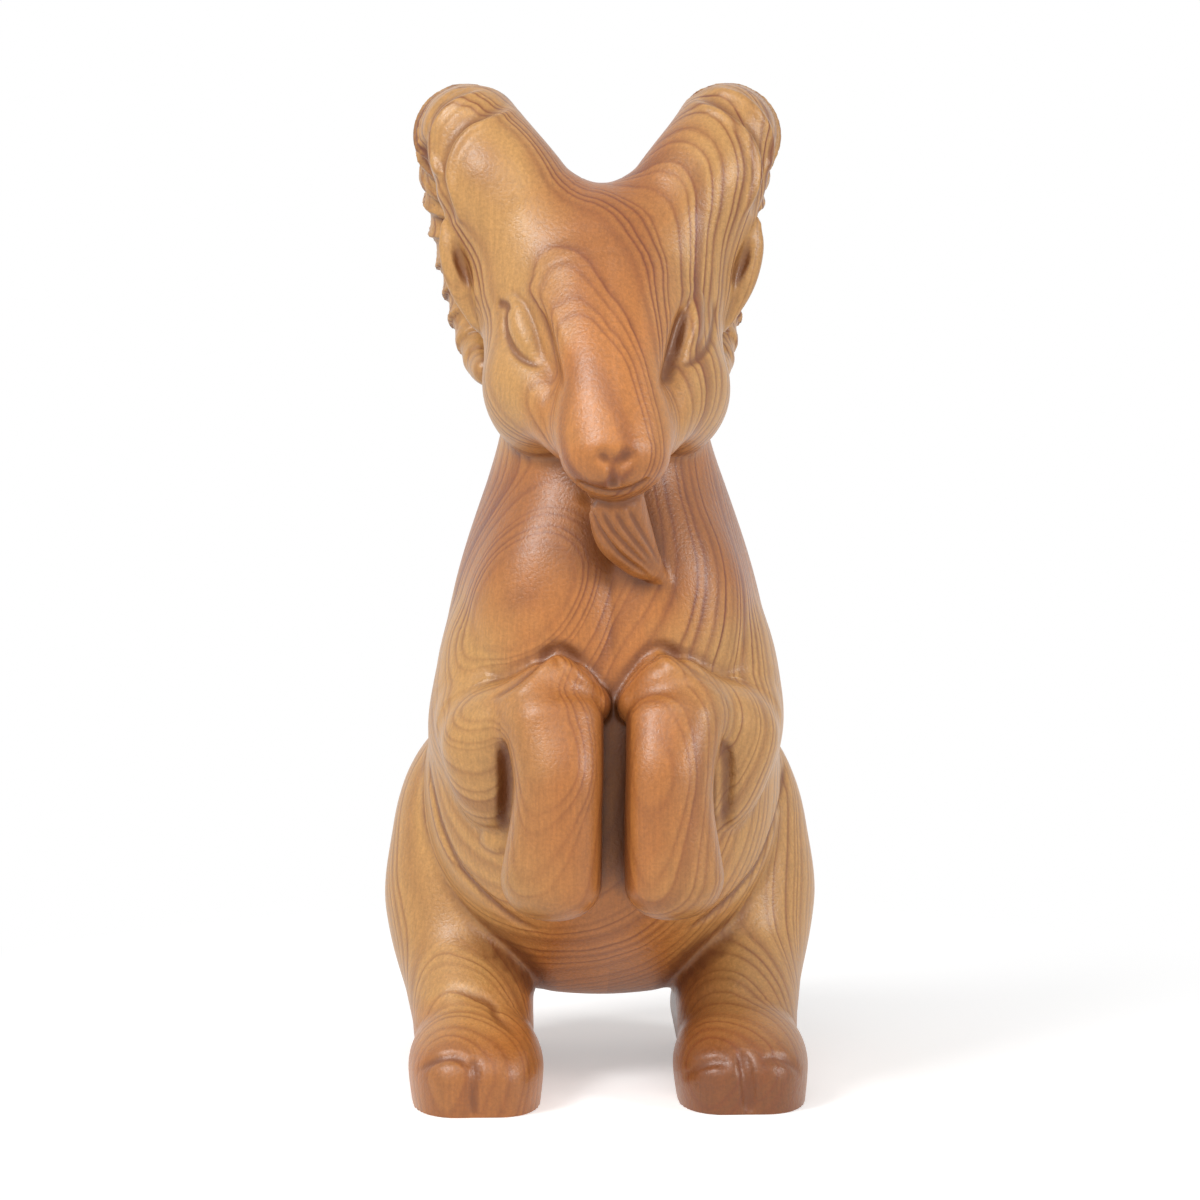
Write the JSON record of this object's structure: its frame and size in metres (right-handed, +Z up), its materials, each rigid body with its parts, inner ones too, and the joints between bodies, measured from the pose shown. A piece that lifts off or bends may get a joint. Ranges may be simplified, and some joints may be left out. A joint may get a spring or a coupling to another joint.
{
  "type": "goat figurine",
  "caption": "Carved wooden goat figurine sitting up on its haunches, with ribbed curling horns, a beard and forelegs folded on its chest.",
  "frame": {"origin": "on the floor, under the middle of the bounding box", "axes": "+Z up, the goat faces -Y, its own left side is +X"},
  "size_m": [0.0436, 0.053, 0.0992],
  "materials": {
    "wood": "satin lacquer over visible growth rings"
  },
  "bodies": {
    "root": {"torso": "wood", "head": "wood", "left_horn": "wood", "right_horn": "wood", "left_ear": "wood", "right_ear": "wood", "beard": "wood", "left_shoulder": "wood", "right_shoulder": "wood", "left_forearm": "wood", "right_forearm": "wood", "left_forefoot": "wood", "right_forefoot": "wood", "left_haunch": "wood", "right_haunch": "wood", "left_hind_foot": "wood", "right_hind_foot": "wood", "tail": "wood"}
  },
  "joints": []
}
